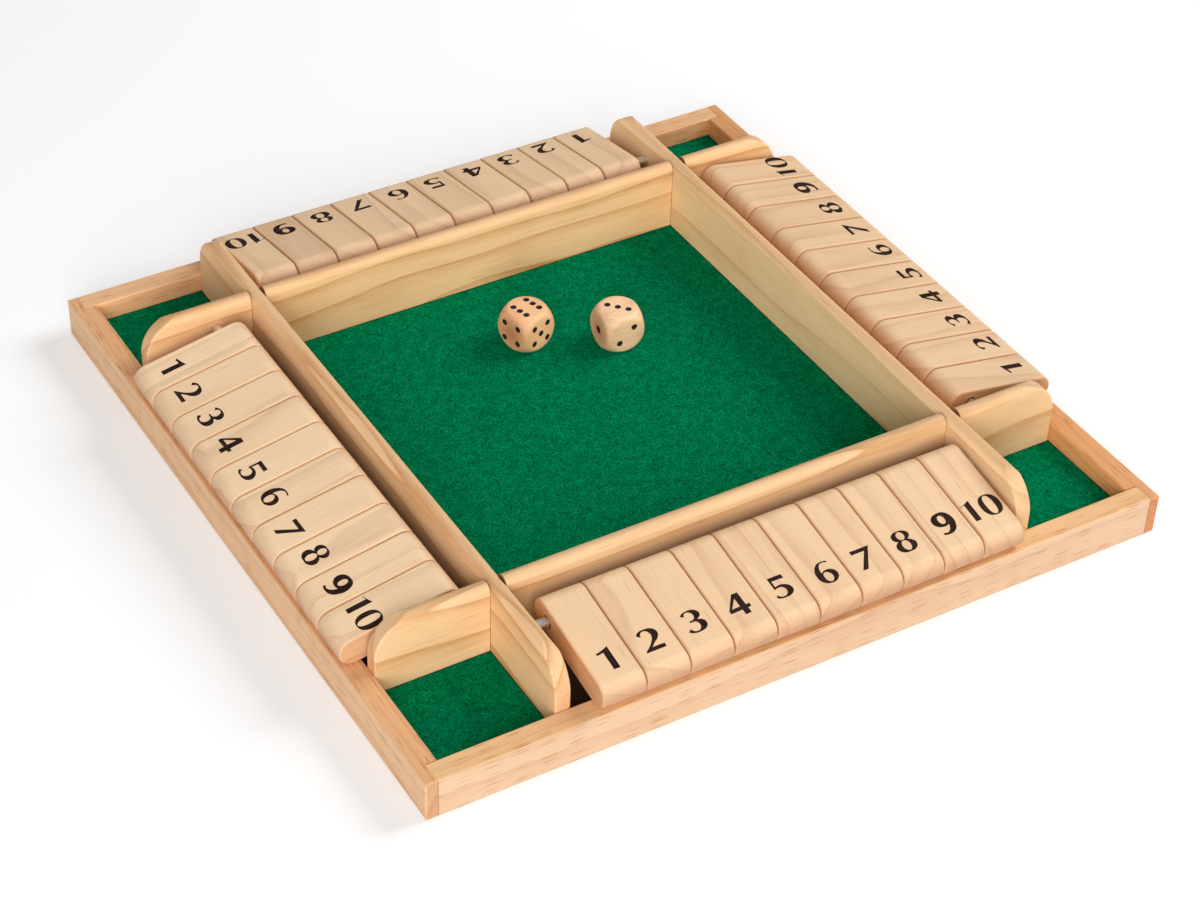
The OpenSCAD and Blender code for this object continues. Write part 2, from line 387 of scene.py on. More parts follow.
# The tone tint of the tiles and the dice is partly painted shade, set row by row and die by die
TILE_WOOD = wood_finish("tile wood", "stick", TILE_LOOK, top=(0.86, 0.80, 0.745))
DIE_WOOD = wood_finish("die wood", "stick", DIE_LOOK, top=(0.98, 0.84, 0.73))
FLOOR_AND_TROUGH_SHADE_WOOD = wood_finish("floor wood and trough shade", "x", FLOOR_AND_TROUGH_SHADE_LOOK)
print("rings of the tile wood in mm:", TILE_LOOK["Ring Width"] / MM)

# %% [markdown]
# ## Rails, walls, floor and rods
# These solids already have the right shape, so they stay as they are and only take a finish. A rail or
# wall gets the finish whose grain runs along its longer side. The rods are bright drawn steel: fine
# scratches run along them, so the bump's noise is stretched that way.

# %% Steel for the rods
LONG_MARKS, FINE_MARKS = 40, 3000


def steel_finish(name, along):
    """Bright drawn steel with fine draw marks along one axis."""
    material, tree, shader = new_material(name)
    stretch = (LONG_MARKS, FINE_MARKS) if along == "x" else (FINE_MARKS, LONG_MARKS)
    marks = noise(tree, own_place(tree), (*stretch, FINE_MARKS), 2.0)[0]
    values = {
        "Base Color": ramp(tree, marks, [(0.2, (0.66, 0.67, 0.68)), (0.8, (0.90, 0.90, 0.91))]),
        "Metallic": 1.0,
        "Roughness": plus(tree, 0.14, times(tree, marks, 0.18)),
        "Normal": raised(tree, marks, 0.25, 0.02 * MM),
    }
    fill(tree, shader, values)
    return material


print("a draw mark is about", 1000 // LONG_MARKS, "mm long")

# %% [markdown]
# Each rail and each wall has a tint of its own. It is partly the board's own colour, as the boards come
# from different trees, and partly painted light and shade, which sets how bright each board's faces
# look under the lamps. The faces that look up get a further tint, which is painted light and shade on
# the tops. Where a board ends against another one, the joint shows as a hairline: the front and back
# rails butt against the side rails, and the front and back walls are let into the other two by half laps.

# %% Dress the solids that keep their shape


def dress(node, material):
    """Gives a solid that keeps its shape one finish all over."""
    mesh = frame["nodes"][node].data
    mesh.materials.clear()
    mesh.materials.append(material)


SIDES = ["front", "right", "back", "left"]
# For each side, the tints of its rail, of its rail's top, of its wall and of its wall's top. They are
# partly the boards' own colours and partly painted light and shade, and the tints of the tops paint
# light and shade on them.
TINTS_AND_PAINTED_LIGHT = {
    "front": ((0.87, 0.88, 0.90), (1.09, 0.99, 0.79), (0.98, 0.97, 0.98), (0.78, 0.77, 0.75)),
    "right": ((0.95, 0.69, 0.47), (0.90, 0.91, 0.90), (1.06, 1.12, 1.16), (0.75, 0.65, 0.59)),
    "back": ((1.15, 0.94, 0.79), (0.85, 0.92, 0.94), (1.02, 0.98, 0.95), (0.80, 0.79, 0.80)),
    "left": ((0.98, 0.94, 0.87), (0.93, 0.79, 0.68), (1.03, 1.01, 1.02), (0.84, 0.82, 0.82)),
}
# How far along, across and up each next board lies in the tree, in metres
TREE_STEP = (0.7, 0.011, 0.007)
low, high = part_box("rail_front")
rail_end = high.x
low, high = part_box("wall_right")
crossing = (low.x, high.x)
for index, side in enumerate(SIDES):
    along = "x" if side in ("front", "back") else "y"
    whole, top, wall, wall_top_shade = TINTS_AND_PAINTED_LIGHT[side]
    place = tuple(step * index for step in TREE_STEP)
    ends, crossings = ((rail_end,), crossing) if along == "x" else ((), ())
    rail = wood_finish("rail wood " + side, along, RAIL_LOOK, whole, top, place, ends, False)
    dress("rail_" + side, rail)
    # The right wall is a quieter board
    look = {**WALL_LOOK, "Ring Contrast": 0.5} if side == "right" else WALL_LOOK
    board = wood_finish("wall wood " + side, along, look, wall, wall_top_shade, place, crossings)
    dress("wall_" + side, board)
    dress("rod_" + side, steel_finish("steel " + side, along))
# The floor board is made nearly black, which also paints the shade in the deep troughs
dress("floor_panel", FLOOR_AND_TROUGH_SHADE_WOOD)
low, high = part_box("wall_front")
length, thickness = high.x - low.x, high.y - low.y
print("a wall is", round(length / MM, 1), "mm long and", round(thickness / MM, 1), "mm thick")

# %% [markdown]
# ## Number tiles
# A tile is a short bar with half round ends, eased edges and a hole for the rod. The hole makes it a
# stretched ring: one closed outline, seen along the bar, goes right round the rod. The tree below uses
# that. It rounds the corners of a rectangle to get the outline, then wraps a plain grid round the rod.
# Each row of the grid takes its place from one point of the outline, and the two halves of the turn
# are pulled apart to the ends of the bar. All forty tiles come from this one tree.
#
# The frame tells where each tile turns: its hinge is the axis of its rod.

# %% The tile's sizes, read from the frame
TILES = 10
TILE_PLAY = 0.12 * MM
TILE_THICKNESS = 10.8 * MM
OUTER_ARM = 32.8 * MM
INNER_ARM = 3.9 * MM
TILE_EDGE = 0.8 * MM
TILE_BORE = 4.8 * MM
joints = {joint["child"]: joint for joint in frame["joints"]}
hinge = Vector(joints["front_tile_1"]["pos_m"])
low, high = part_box("front_tile_1")
TILE_WIDTH = high.x - low.x - TILE_PLAY
TILE_SLOPE = math.asin((hinge.z - low.z - TILE_THICKNESS / 2) / OUTER_ARM)
print("tile:", round(TILE_WIDTH / MM, 2), "mm wide, sloping", round(math.degrees(TILE_SLOPE), 2), "degrees")

# %% [markdown]
# Geometry Nodes builds shapes with the same kind of tree as a material, so the helpers from the start
# serve here too, and a few more make the steps that come back. A material can read any value that was
# stored on the points. Instances are only references to one shape, so they are made real at the end.

# %% Helpers for Geometry Nodes


def shape_node(tree, kind, inputs, **settings):
    """One step of Geometry Nodes, by the last part of its name. Returns its first result's socket."""
    return add_node(tree, "GeometryNode" + kind, inputs, **settings).outputs[0]


def from_axes(tree, x=0.0, y=0.0, z=0.0):
    """A vector made of its three parts. Returns the socket."""
    return add_node(tree, "ShaderNodeCombineXYZ", {0: x, 1: y, 2: z}).outputs[0]


def store(tree, geometry, name, value, kind="FLOAT"):
    """Keeps a value under a name on every point, for a material to read. Returns the geometry."""
    inputs = {"Geometry": geometry, "Name": name, "Value": value}
    return shape_node(tree, "StoreNamedAttribute", inputs, data_type=kind, domain="POINT")


def covered(tree, geometry, material):
    """Gives a geometry one material. Returns the geometry."""
    return shape_node(tree, "SetMaterial", {"Geometry": geometry, "Material": material})


def realized(tree, geometry):
    """Turns instances into real points and faces. Returns the geometry."""
    return shape_node(tree, "RealizeInstances", {"Geometry": geometry})


print("geometry helpers ready")

# %% [markdown]
# The tile's tree is made by two functions. The first wraps the grid, one column after another, and
# looks up the outline's point for each row. The second adds how the faces are shaded and what the
# finish reads: the place in the stick, and how far a face looks along the grain or along the rod.

# %% The ring of a tile as nodes
# Steps in half a turn round the rod, and in one eased corner
ROUND = 24
CORNER = 4
SHARPEST_EDGE = 0.15 * MM
STRAIGHT_WALL = 0.2 * MM


def tile_ring(tree, size, where):
    """A grid wrapped round the rod, with the bar's outline as its section. Returns the geometry."""
    half_thick = times(tree, size["Thickness"], 0.5)
    bore = times(tree, size["Bore"], 0.5)
    here = axes_of(tree, where)

    # The outline: a rectangle from the hole's wall to the bar's back, with rounded corners
    inputs = {"Width": size["Width"], "Height": minus(tree, half_thick, bore)}
    outline = shape_node(tree, "CurvePrimitiveQuadrilateral", inputs)
    easing = times(tree, math_node(tree, "GREATER_THAN", here["Y"], 0.0), size["Edge"])
    easing = math_node(tree, "MAXIMUM", easing, SHARPEST_EDGE)
    inputs = {"Curve": outline, "Radius": easing, "Count": CORNER}
    outline = shape_node(tree, "FilletCurve", inputs, mode="POLY")

    # The grid: one step of 1 for each row, so a vertex's own place says which row and column it is in
    points = 4 * (CORNER + 1)
    columns = 2 * ROUND + 3
    inputs = {"Size X": columns - 1, "Size Y": points, "Vertices X": columns, "Vertices Y": points + 1}
    grid = shape_node(tree, "MeshGrid", inputs)
    column = math_node(tree, "ROUND", plus(tree, here["X"], (columns - 1) / 2))
    row = math_node(tree, "ROUND", plus(tree, here["Y"], points / 2))
    row = math_node(tree, "MODULO", row, points)
    inputs = {"Geometry": outline, "Value": where, "Index": row}
    sample = shape_node(tree, "SampleIndex", inputs, data_type="FLOAT_VECTOR", domain="POINT")
    across = axes_of(tree, sample)
    radius = plus(tree, across["Y"], times(tree, plus(tree, half_thick, bore), 0.5))

    # The turn round the rod: each half stops for one column, where the straight side of the bar lies
    past_first = math_node(tree, "GREATER_THAN", column, ROUND + 0.5)
    past_second = math_node(tree, "GREATER_THAN", column, 2 * ROUND + 1.5)
    steps = minus(tree, minus(tree, column, past_first), past_second)
    angle = minus(tree, times(tree, steps, math.pi / ROUND), math.pi / 2)
    outward = times(tree, size["Outer Arm"], -1.0)
    arms = {0: minus(tree, past_first, past_second), 2: size["Inner Arm"], 3: outward}
    arm = add_node(tree, "ShaderNodeMix", arms, data_type="FLOAT").outputs[0]
    # The hole's wall stays round the rod and the back goes out to the ends
    room = minus(tree, minus(tree, half_thick, size["Edge"]), bore)
    share = minus(tree, minus(tree, radius, bore), STRAIGHT_WALL)
    share = over(tree, share, minus(tree, room, STRAIGHT_WALL), clamp=True)
    along = times(tree, radius, math_node(tree, "COSINE", angle))
    along = plus(tree, along, times(tree, arm, share))
    up = times(tree, radius, math_node(tree, "SINE", angle))
    place = from_axes(tree, across["X"], along, up)
    wrapped = shape_node(tree, "SetPosition", {"Geometry": grid, "Position": place})
    return shape_node(tree, "MergeByDistance", {"Geometry": wrapped, "Distance": 0.001 * MM})


print("a ring has", 2 * ROUND + 2, "steps round the rod, of", 4 * (CORNER + 1), "faces each")

# %% The tree that makes one tile blank
# A face counts as flat where its normal lies this much along an axis
LEVEL = 0.9999


def make_tile_tree():
    """A Geometry Nodes tree: the sizes of a bar in, an eased bar with a rod hole out. X is the rod."""
    tree = bpy.data.node_groups.new("number tile", "GeometryNodeTree")
    declare(tree, "INPUT", "Float", "Width", "Thickness", "Outer Arm", "Inner Arm", "Edge", "Bore")
    declare(tree, "INPUT", "Vector", "Stick Place")
    declare(tree, "INPUT", "Float", "Tone")
    declare(tree, "INPUT", "Material", "Wood")
    declare(tree, "OUTPUT", "Geometry", "Tile")
    size = tree.nodes.new("NodeGroupInput").outputs
    where = tree.nodes.new("GeometryNodeInputPosition").outputs[0]
    ring = tile_ring(tree, size, where)

    # Flat faces stay flat to the light, and rounded ones are shaded smoothly
    normal = axes_of(tree, tree.nodes.new("GeometryNodeInputNormal").outputs[0])
    cheek = math_node(tree, "GREATER_THAN", unsigned(tree, normal["X"]), LEVEL)
    face = math_node(tree, "GREATER_THAN", unsigned(tree, normal["Z"]), LEVEL)
    curved = minus(tree, 1.0, math_node(tree, "MAXIMUM", cheek, face))
    tile = shape_node(tree, "SetShadeSmooth", {"Geometry": ring, "Shade Smooth": curved}, domain="FACE")

    # Where each point lies in the stick that the tile was cut from, with the grain in X
    here = axes_of(tree, where)
    turned = from_axes(tree, here["Y"], here["X"], here["Z"])
    tile = store(tree, tile, "stick", vector_node(tree, "ADD", turned, size["Stick Place"]), "FLOAT_VECTOR")
    tile = store(tree, tile, "cut_end", unsigned(tree, normal["Y"], 3.0))
    # How far a face looks along the rod, where the finish paints the shade of the gaps between tiles
    tile = store(tree, tile, "cheek", unsigned(tree, normal["X"], 1.5))
    tile = store(tree, tile, "tone", size["Tone"])
    tile = covered(tree, realized(tree, tile), size["Wood"])
    fill(tree, tree.nodes.new("NodeGroupOutput").inputs, {"Tile": tile})
    return tree


TILE_TREE = make_tile_tree()
print("tile tree:", len(TILE_TREE.nodes), "nodes")

# %% [markdown]
# A tree only describes a shape. To get a plain mesh, a carrier object gets the tree as a modifier, the
# inputs are set by their identifiers, and the evaluated result is copied. The same steps serve the
# tiles, the felt, the printed numbers and the dice. A closed mesh has exactly two faces at each edge.

# %% From a tree to a plain mesh


def put_in_scene(name, data):
    """A new object with that data, in the scene."""
    thing = bpy.data.objects.new(name, data)
    bpy.context.scene.collection.objects.link(thing)
    return thing


def plain_mesh(thing, all_layers=False):
    """The mesh of an object after its modifiers, or of a filled curve."""
    bpy.context.view_layer.update()
    graph = bpy.context.evaluated_depsgraph_get()
    evaluated = thing.evaluated_get(graph)
    return bpy.data.meshes.new_from_object(evaluated, preserve_all_data_layers=all_layers, depsgraph=graph)


def from_tree(tree, values, name):
    """Runs a Geometry Nodes tree once with those input values and keeps the mesh that it makes."""
    carrier = put_in_scene(name, bpy.data.meshes.new(name))
    modifier = carrier.modifiers.new("shape", "NODES")
    modifier.node_group = tree
    for item in tree.interface.items_tree:
        if item.in_out == "INPUT" and item.name in values:
            modifier[item.identifier] = values[item.name]
    mesh = plain_mesh(carrier, all_layers=True)
    mesh.name = name
    bpy.data.objects.remove(carrier)
    # Blender puts an empty slot before the tree's own materials, so only the slots in use are kept
    slots = [face.material_index for face in mesh.polygons]
    used = sorted(set(slots))
    kept = [mesh.materials[slot] for slot in used]
    mesh.materials.clear()
    for material in kept:
        mesh.materials.append(material)
    mesh.polygons.foreach_set("material_index", [used.index(slot) for slot in slots])
    return mesh


named = [item.name for item in TILE_TREE.interface.items_tree if item.in_out == "INPUT"]
print("inputs of the tile tree:", named)

# %% One tile blank


def check(mesh):
    """How many faces a mesh has, whether it is closed, and how much it holds, in words."""
    work = bmesh.new()
    work.from_mesh(mesh)
    bmesh.ops.recalc_face_normals(work, faces=work.faces)
    closed = all(edge.is_manifold for edge in work.edges)
    volume = work.calc_volume()
    work.free()
    return str(len(mesh.polygons)) + " faces, closed: " + str(closed) + ", mm3: " + str(round(volume / MM**3))


def tile_blank(place, tone):
    """One tile at the origin of its own rod, lying along Y with its face up."""
    values = {
        "Width": TILE_WIDTH,
        "Thickness": TILE_THICKNESS,
        "Outer Arm": OUTER_ARM,
        "Inner Arm": INNER_ARM,
        "Edge": TILE_EDGE,
        "Bore": TILE_BORE,
        "Stick Place": place,
        "Tone": tone,
        "Wood": TILE_WOOD,
    }
    return from_tree(TILE_TREE, values, "tile blank")


print("tile blank:", check(tile_blank((0.0, 0.0, 0.0), 0.5)))

# %% [markdown]
# ## Printed numbers
# The numbers are printed in dark ink with a screen, so each one is a flat patch with crisp corners and
# soft curves. Each outline below is a list of points in millimetres, x to the right and y down from the
# top of the number. A point marked "c" is a corner, and the curve runs smoothly through every other
# one. A filled curve is given the thickness of a film of ink, which makes a closed patch that lies on
# the tile.

# %% Outlines of the numbers


def oval(x, y, half_width, half_height, squareness=1.0, points=12):
    """Points round an oval. A squareness below 1 fills out its corners."""
    around = [2 * math.pi * i / points for i in range(points)]

    def stretch(value):
        return math.copysign(abs(value) ** squareness, value)

    return [(x + half_width * stretch(math.cos(a)), y + half_height * stretch(math.sin(a))) for a in around]


NUMBERS = {
    1: [
        "3.1,9.95c 5.5,9.95c 5.5,0.5c 3.4,1.3 0.3,2.1c 0.9,2.85c 3.1,2.45c",
    ],
    2: [
        "1,9.95c 8.6,9.95c 8.7,8.4c 4.1,8.4c 5.6,7 7.4,5.8 8.7,3.4 7.9,1.6 5,0.7 2.4,1.1 1.1,2.2c 2.35,3.25c "
        "2.7,2.3 3.3,1.6 4.3,1.35 5.3,1.7 5.9,2.6 6.1,3.6 5.8,4.8 5,6 3.9,7.2 2.5,8.4 1.1,9.4c",
    ],
    3: [
        "1.5,1.9c 2.8,1 4.6,0.65 7.2,1 8.5,2.6 8.3,3.8 6.6,5.05c 8.3,5.9 8.9,7.3 8,9.2 5,10.1 2.6,9.9 1,9c "
        "2.2,7.9c 2.9,9 4.3,9.5 5.7,8.9 6.3,7.4 5.7,5.9 4.2,5.6 3.3,5.55c 3.5,4.95c 4.9,4.85 5.9,4 6,2.6 "
        "5.4,1.6 4.4,1.2 3.4,1.5 2.9,2.2 2.75,2.75c",
    ],
    4: [
        "5.4,0.6c 7.8,0.6c 7.9,6.2c 9.3,6.2c 9.3,7.5c 8,7.7c 8.05,9.9c 5.75,9.95c 5.7,7.75c 1.1,7.9c 1,6.7c",
        "5.5,2.5c 5.55,6.2c 2.3,6.3c",
    ],
    5: [
        "2.1,0.7c 7.7,0.7c 7.8,2.35c 3,2.3c 2.95,4.9c 4.2,4.6 6.5,4.9 8.4,6.7 8.2,8.6 6.2,9.9 4,10.1 2.2,9.9 "
        "1,9.2c 1.8,8.1c 2.4,9 3.9,9.5 5.4,8.9 6.1,7.3 5.3,5.8 4.1,5.5 2.9,5.7 2.1,5.9c",
    ],
    6: [
        "7.9,0.95c 6,0.65 4,0.95 1.9,2.9 1.05,5.7 1.9,8.8 4.8,10.1 7.8,9.2 8.9,7 8,5.1 5.9,4.35 4.3,4.7 "
        "3.4,5.15c 3.4,4.6 3.7,3 4.8,1.5 6.3,1.15 7.6,1.65c",
        "5,5.2 6.5,6.5 6.7,7.6 5.9,9.2 5,9.5 3.8,8.6 3.5,7 3.9,5.6",
    ],
    7: [
        "1,0.95c 8.9,0.95c 5.3,6.8 3.4,9.9c 1.2,9.9c 6.3,2.5c 1.1,2.5c",
    ],
    8: [
        "5,0.65 7.5,1.2 8.6,2.8 7.6,4.5 6.9,4.85c 8.3,5.8 9.05,7.3 8,9.4 5,10.15 2,9.4 1,7.4 1.7,5.8 "
        "3.1,4.95c 2.1,4.4 1.5,2.9 2.4,1.3",
        oval(5.1, 2.9, 1.5, 1.8),
        oval(5.1, 7.25, 1.62, 2.25),
    ],
    9: [
        "5,0.9 2.2,1.8 1.05,4 2,6.2 4.3,7.1 5.5,7.05 6.5,6.7c 6.3,7.6 5.4,9 4,9.8 2.6,9.5c 2.2,9.9 "
        "2.4,10.5c 4.4,10.75 7.2,10 9,7.5 9.35,4.6 8.4,2.2 7,1.1",
        oval(5.05, 4.05, 1.35, 1.95),
    ],
    10: [
        "3,9.9c 5.3,9.9c 5.4,0.6c 3.4,1.5 0.9,2.3c 1,2.4c 3,1.95c",
        oval(12.05, 5.4, 4.05, 4.75, 0.85),
        oval(11.95, 5.4, 1.7, 4.3, 0.85),
    ],
}
# The screen never sits quite square on forty loose tiles. For each number from 1 to 10: how far it is
# off the middle of its tile, and how far it is from the outer end towards the rod, in millimetres.
PRINTED_AT = {
    "front": "-.5 7.5, -.4 8.5, -.2 9.1, -.1 8.9, .3 9.5, .9 8.3, -.1 8, -.7 8.7, 0 9.6, -.6 10.1",
    "right": "0 7.2, .5 7.1, .1 7.9, .1 7.4, -.1 5.9, 1.1 6.6, .8 6.9, .2 7.7, 0 8.5, .1 9",
    "back": "-.5 7.5, 0 6.4, 0 7.4, -.5 8, .3 8.2, -.4 8.5, .2 7.5, -.4 8.5, -.6 8.7, -.6 8.6",
    "left": "-.9 8.5, -1 7.7, -.7 8.5, -1 8, 0 8.7, -.7 9.3, .9 6.2, -.2 8.4, .3 8.3, .2 9.5",
}
print("outlines for", len(NUMBERS), "numbers on", len(PRINTED_AT), "sides")

# %% From outlines to patches of ink
INK_FILM = 0.06 * MM


def outline_points(outline):
    """The points of one outline as (x, y, is it a corner)."""
    if not isinstance(outline, str):
        return [(x, y, False) for x, y in outline]
    found = []
    for word in outline.split():
        x, y = word.rstrip("c").split(",")
        found.append((float(x), float(y), word.endswith("c")))
    return found


def number_patch(number):
    """A closed patch of ink in the shape of that number, lying in XY with its middle at the origin."""
    curve = bpy.data.curves.new("number", "CURVE")
    curve.dimensions = "2D"
    curve.fill_mode = "BOTH"
    curve.extrude = INK_FILM / 2
    curve.resolution_u = 6
    outlines = [outline_points(outline) for outline in NUMBERS[number]]
    every = [point for outline in outlines for point in outline]
    middle_x = (min(p[0] for p in every) + max(p[0] for p in every)) / 2
    middle_y = (min(p[1] for p in every) + max(p[1] for p in every)) / 2
    for outline in outlines:
        spline = curve.splines.new("BEZIER")
        spline.bezier_points.add(len(outline) - 1)
        spline.use_cyclic_u = True
        for point, (x, y, corner) in zip(spline.bezier_points, outline):
            point.co = ((x - middle_x) * MM, (middle_y - y) * MM, 0)
            handle = "VECTOR" if corner else "AUTO"
            point.handle_left_type = point.handle_right_type = handle
    carrier = put_in_scene("number", curve)
    mesh = plain_mesh(carrier)
    bpy.data.objects.remove(carrier)
    work = bmesh.new()
    work.from_mesh(mesh)
    bmesh.ops.remove_doubles(work, verts=work.verts, dist=0.002 * MM)
    bmesh.ops.recalc_face_normals(work, faces=work.faces)
    work.to_mesh(mesh)
    work.free()
    return mesh


patches = {number: number_patch(number) for number in NUMBERS}
for number, patch in patches.items():
    print("number", number, "-", check(patch))

# %% [markdown]
# The ink is nearly black with a warm cast, and duller than the lacquer. It is a little thin in small
# spots, where the wood shows through. Its pattern follows the place in the stick, as the grain does.

# %% Ink


def make_ink():
    """Screen printing ink on lacquered wood."""
    material, tree, shader = new_material("ink")
    grain = noise(tree, attribute(tree, "stick", "Vector"), (350, 1400, 1400), 3.0)[0]
    shades = [(0.3, (0.045, 0.024, 0.018)), (0.6, (0.017, 0.007, 0.005)), (1.0, (0.012, 0.005, 0.004))]
    values = {
        "Base Color": ramp(tree, grain, shades),
        "Roughness": plus(tree, 0.5, times(tree, grain, 0.2)),
        "Specular IOR Level": 0.06,
    }
    fill(tree, shader, values)
    return material


INK = make_ink()
print("ink made:", INK.name)

# %% [markdown]
# Now the forty tiles. Each blank is made at its rod, gets its number, and is then turned to its slope
# and carried round to its side of the tray. Its place in the stick is drawn at random from a fixed
# seed, so no two tiles have the same grain.

# %% Print a number on a tile
PRINT_LIFT = 0.01 * MM
# How far the sticks lie apart in the tree, in metres, and how much their tones differ in a row
STICK_REACH = (2, 0.05, 0.02)
TONE_SPREAD = 0.35
draw = random.Random(17)


def numbered_tile(number, across, along, row_tone_and_shade):
    """A tile blank with its number printed on, at the origin of its own rod."""
    place = tuple(draw.uniform(-reach, reach) for reach in STICK_REACH)
    # The row's tone is partly painted shade, and the random spread is each stick's own tone
    mesh = tile_blank(place, row_tone_and_shade + draw.uniform(0.0, TONE_SPREAD))
    mesh.materials.append(INK)
    spot = Vector((across * MM, -OUTER_ARM + along * MM, TILE_THICKNESS / 2 + PRINT_LIFT))
    work = bmesh.new()
    work.from_mesh(mesh)
    bmesh.ops.recalc_face_normals(work, faces=work.faces)
    stick = work.verts.layers.float_vector["stick"]
    before = set(work.verts)
    own_faces = set(work.faces)
    work.from_mesh(patches[number])
    for vertex in work.verts:
        if vertex not in before:
            vertex.co += spot
            vertex[stick] = Vector((vertex.co.y, vertex.co.x, vertex.co.z)) + Vector(place)
    for face in work.faces:
        if face not in own_faces:
            face.material_index = 1
            face.smooth = False
    work.to_mesh(mesh)
    work.free()
    return mesh


print("each print stands", (PRINT_LIFT + INK_FILM / 2) / MM, "mm above its tile")

# %% [markdown]
# A finished mesh becomes a piece of the model in one call: it rides on the body that moves it and
# stands for the solid of that name.

# %% Make and place the forty tiles


def new_piece(name, mesh, body, node):
    """Puts a finished mesh in the scene as one piece that rides on a body and stands for a solid."""
    piece = put_in_scene(name, mesh)
    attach(piece, body)
    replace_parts(piece, node)
    return piece


# Each row's tone, 0 the palest: partly the sticks' own tone and partly painted shade, which sets how
# bright each row looks under the lamps
ROW_TONE_AND_SHADE = {"front": 0.9, "right": 0.85, "back": 0.45, "left": 0.0}
tiles = []
for turn, side in enumerate(SIDES):
    round_tray = Matrix.Rotation(math.radians(90 * turn), 4, "Z")
    prints = [[float(value) for value in pair.split()] for pair in PRINTED_AT[side].split(",")]
    for number in range(1, TILES + 1):
        low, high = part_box("front_tile_" + str(number))
        rod_point = Vector(((low.x + high.x) / 2, hinge.y, hinge.z))
        mesh = numbered_tile(number, *prints[number - 1], ROW_TONE_AND_SHADE[side])
        mesh.transform(round_tray @ Matrix.Translation(rod_point) @ Matrix.Rotation(TILE_SLOPE, 4, "X"))
        node = side + "_tile_" + str(number)
        tiles.append(new_piece("tile." + side + "." + str(number), mesh, node, node))
worst = 0
for tile in tiles:
    node_low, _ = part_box(tile["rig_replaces"][0])
    own = [min(v.co[i] for v in tile.data.vertices) for i in range(3)]
    worst = max(worst, *(abs(own[i] - node_low[i]) for i in range(3)))
print(len(tiles), "tiles; furthest from its solid's lowest corner, in mm:", round(worst / MM, 3))

# %% [markdown]
# ## Dice
# A wooden die starts as a cube and is tumbled until its corners are round, which leaves a round flat on
# each face. That is the shape shared by a cube and a ball of a little more than its size, so each point
# of a fine cube goes to whichever of the two surfaces is nearer to the middle. A soft minimum blends
# the two where they meet.

# %% The shape of a die
DIE_HALF = 8.2 * MM
DIE_BALL = 11.0 * MM
DIE_STEPS = 40
BLEND = 0.25 * MM
FACES = {
    "top": ((1, 0, 0), (0, 1, 0), (0, 0, 1)),
    "bottom": ((1, 0, 0), (0, -1, 0), (0, 0, -1)),
    "front": ((1, 0, 0), (0, 0, 1), (0, -1, 0)),
    "right": ((0, 1, 0), (0, 0, 1), (1, 0, 0)),
    "back": ((-1, 0, 0), (0, 0, 1), (0, 1, 0)),
    "left": ((0, -1, 0), (0, 0, 1), (-1, 0, 0)),
}


def kept_mesh(work, name):
    """Shades a bmesh smoothly and keeps it as a mesh of that name."""
    for face in work.faces:
        face.smooth = True
    mesh = bpy.data.meshes.new(name)
    work.to_mesh(mesh)
    work.free()
    return mesh


def tumbled_cube():
    """A cube with round flats and ball-shaped corners, round the origin, as a closed mesh."""
    work = bmesh.new()
    # Equal steps of angle keep the faces near the corners from getting narrow
    slopes = [math.tan((i / DIE_STEPS - 0.5) * math.pi / 2) for i in range(DIE_STEPS + 1)]
    for across, up, out in FACES.values():
        across, up, out = Vector(across), Vector(up), Vector(out)
        grid = []
        for a in slopes:
            row = []
            for b in slopes:
                way = (across * a + up * b + out).normalized()
                flat = DIE_HALF / max(abs(part) for part in way)
                gap = (flat - DIE_BALL) / BLEND
                soft = -BLEND * math.log(1 + math.exp(-min(max(gap, -30), 30))) if gap < 30 else 0.0
                row.append(work.verts.new(way * (DIE_BALL + soft)))
            grid.append(row)
        for i in range(DIE_STEPS):
            for j in range(DIE_STEPS):
                work.faces.new((grid[i][j], grid[i + 1][j], grid[i + 1][j + 1], grid[i][j + 1]))
    bmesh.ops.remove_doubles(work, verts=work.verts, dist=0.01 * MM)
    bmesh.ops.recalc_face_normals(work, faces=work.faces)
    return kept_mesh(work, "tumbled cube")


print("die body:", check(tumbled_cube()))

# %% [markdown]
# The pips are shallow dimples that a ball-nosed cutter leaves. Small balls that stand over the faces do
# the same in a Boolean, and they carry the black paint, which the dimples keep. The paint was brushed
# on by hand, so it is neither quite even nor quite black.

# %% Paint for the pips


def make_pip_paint():
    """Black paint brushed into a dimple."""
    material, tree, shader = new_material("pip paint")
    brushed = noise(tree, own_place(tree), 2200.0, 2.0)[0]
    values = {
        "Base Color": ramp(tree, brushed, [(0.3, (0.012, 0.010, 0.010)), (0.8, (0.030, 0.024, 0.022))]),
        "Roughness": plus(tree, 0.4, times(tree, brushed, 0.25)),
        "Specular IOR Level": 0.2,
    }
    fill(tree, shader, values)
    return material


PIP_PAINT = make_pip_paint()
print("paint made:", PIP_PAINT.name)

# %% The balls that cut the pips
PIP_RADIUS = 1.25 * MM
PIP_DEPTH = 0.42 * MM
LONE_PIP = 1.3
# How much a ball leans with the surface under it
LEAN = 0.35
PIPS = {
    1: [(0, 0)],
    2: [(-1, -1), (1, 1)],
    3: [(-1, -1), (0, 0), (1, 1)],
    4: [(-1, -1), (-1, 1), (1, -1), (1, 1)],
    5: [(-1, -1), (-1, 1), (0, 0), (1, -1), (1, 1)],
    6: [(-1, -1), (-1, 0), (-1, 1), (1, -1), (1, 0), (1, 1)],
}


